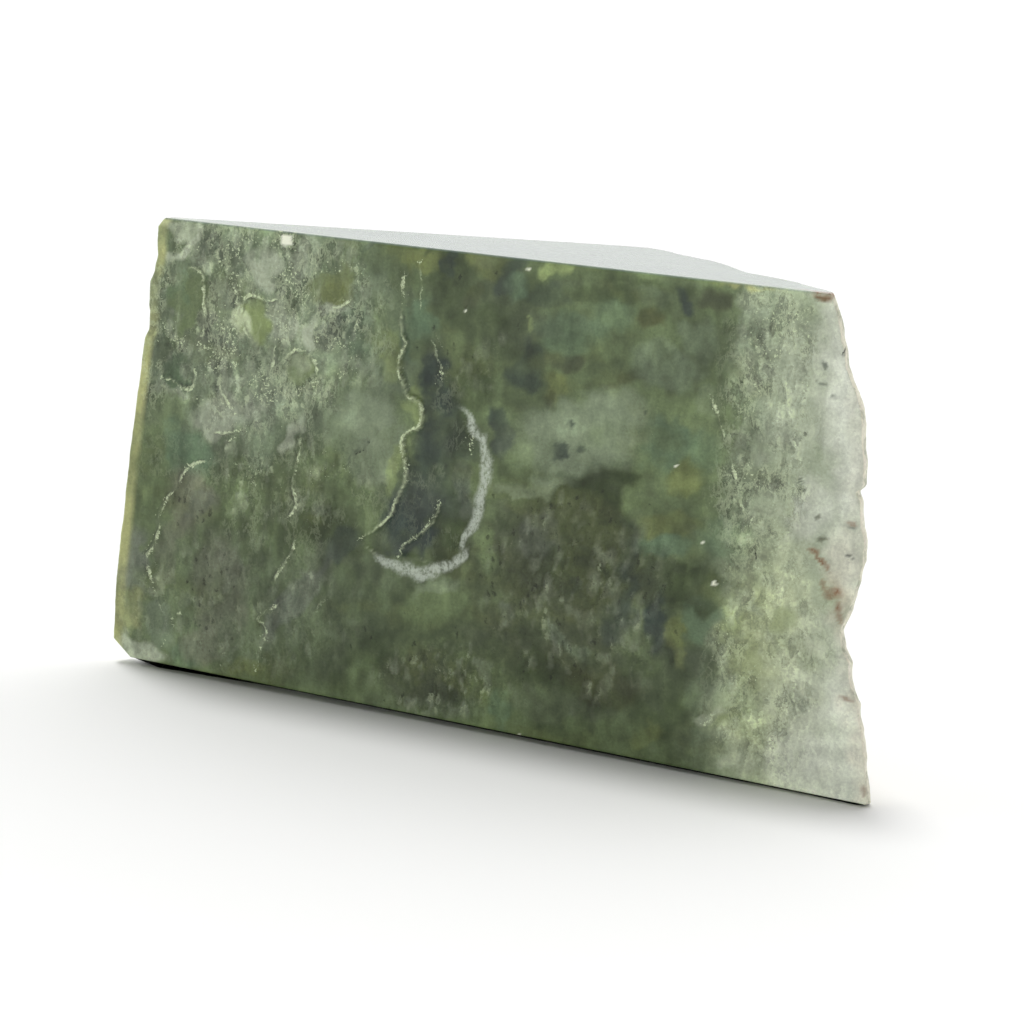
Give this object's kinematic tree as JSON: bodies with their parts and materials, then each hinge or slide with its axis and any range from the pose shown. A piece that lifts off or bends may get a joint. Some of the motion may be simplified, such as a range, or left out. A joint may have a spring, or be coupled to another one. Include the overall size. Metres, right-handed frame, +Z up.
{
  "type": "nephrite block",
  "caption": "Wedge-shaped block of mottled green nephrite jade with flat sawn faces, a thin broken left edge and a natural boulder rind on the right.",
  "frame": {"origin": "middle of the block's bounding box, on the flat foot it stands on", "axes": "+Z up from the sawn foot, +X along the length towards the rind, -Y out of the sawn front"},
  "size_m": [0.267, 0.0768, 0.15],
  "materials": {
    "nephrite": "sawn and partly rubbed smooth, satin, mottled green with a paler rind"
  },
  "bodies": {
    "root": {"nephrite_block": "nephrite"}
  },
  "joints": []
}
